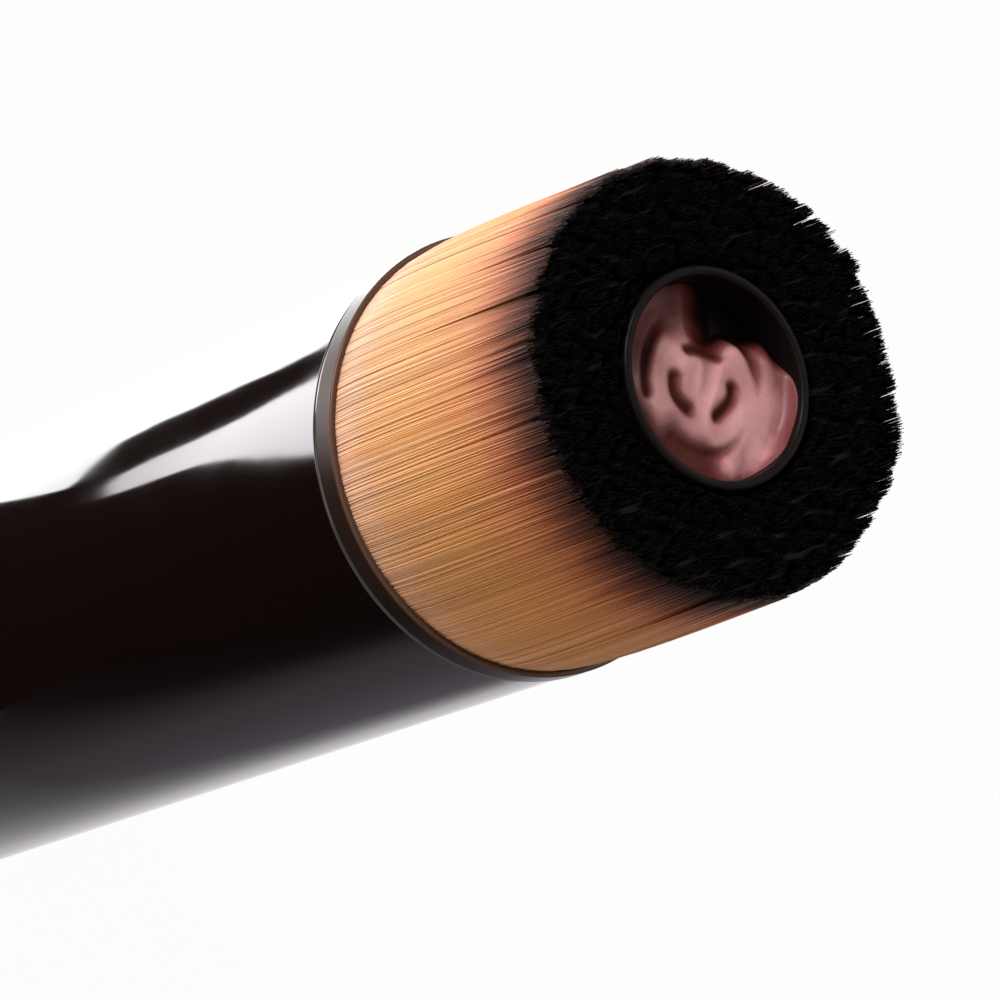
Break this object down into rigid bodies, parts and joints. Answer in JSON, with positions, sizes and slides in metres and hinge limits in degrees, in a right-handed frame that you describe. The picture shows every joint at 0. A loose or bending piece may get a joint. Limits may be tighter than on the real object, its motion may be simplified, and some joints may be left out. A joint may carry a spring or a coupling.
{
  "type": "foundation brush",
  "caption": "Stout self-dispensing foundation brush: straight glossy barrel with a twist base, dense flat-topped bristles round a central product outlet, and a piston cartridge inside.",
  "frame": {"origin": "centre of the underside of the foot pad, on the brush's axis", "axes": "+Z along the brush's axis, from the base to the bristles. +X points through the middle of one of the rod's two flats."},
  "size_m": [0.0342, 0.0342, 0.1314],
  "materials": {
    "barrel": "high gloss, brown-black",
    "pad": "matte",
    "trim": "satin black",
    "bristle": "gold filament with black tips",
    "cup": "smoky, polished rim",
    "outlet": "dusty pink, wet gloss",
    "silicone": "translucent silicone",
    "white_plastic": "natural acetal",
    "black_plastic": "moulded",
    "cartridge": "milky polypropylene",
    "seal": "matte",
    "resin": "cured epoxy",
    "spring_steel": "drawn"
  },
  "bodies": {
    "barrel": {"barrel_shell": "barrel", "trim_ring": "trim", "brush_carrier": "black_plastic", "resin_bed": "resin", "tuft_sector_1": "bristle", "tuft_sector_2": "bristle", "tuft_sector_3": "bristle", "tuft_sector_4": "bristle", "tuft_sector_5": "bristle", "tuft_sector_6": "bristle", "tuft_sector_7": "bristle", "tuft_sector_8": "bristle", "outlet_cup": "cup", "outlet_disc": "outlet", "outlet_valve": "silicone", "feed_tube": "white_plastic", "cartridge": "cartridge", "cartridge_gasket": "seal", "nut_plate": "white_plastic", "ratchet_ring": "white_plastic", "retaining_ring": "spring_steel"},
    "dial": {"base_dial": "barrel", "foot_pad": "pad", "drive_sleeve": "white_plastic", "click_pawl": "black_plastic"},
    "plunger": {"plunger_rod": "white_plastic", "piston": "white_plastic", "piston_seal_lower": "seal", "piston_seal_upper": "seal"}
  },
  "joints": [
    {"name": "base_twist", "type": "hinge", "parent": "barrel", "child": "dial", "pos_m": [0, 0, 0.0144], "axis": [0, 0, 1], "range_deg": [0, 2160], "deforming": ["click_pawl"]},
    {"name": "plunger_advance", "type": "slide", "parent": "dial", "child": "plunger", "axis": [0, 0, 1], "range_m": [0, 0.03]}
  ],
  "couplings": [
    {"joint": "base_twist", "follows": "plunger_advance", "rad_per_m": 1256.6}
  ]
}
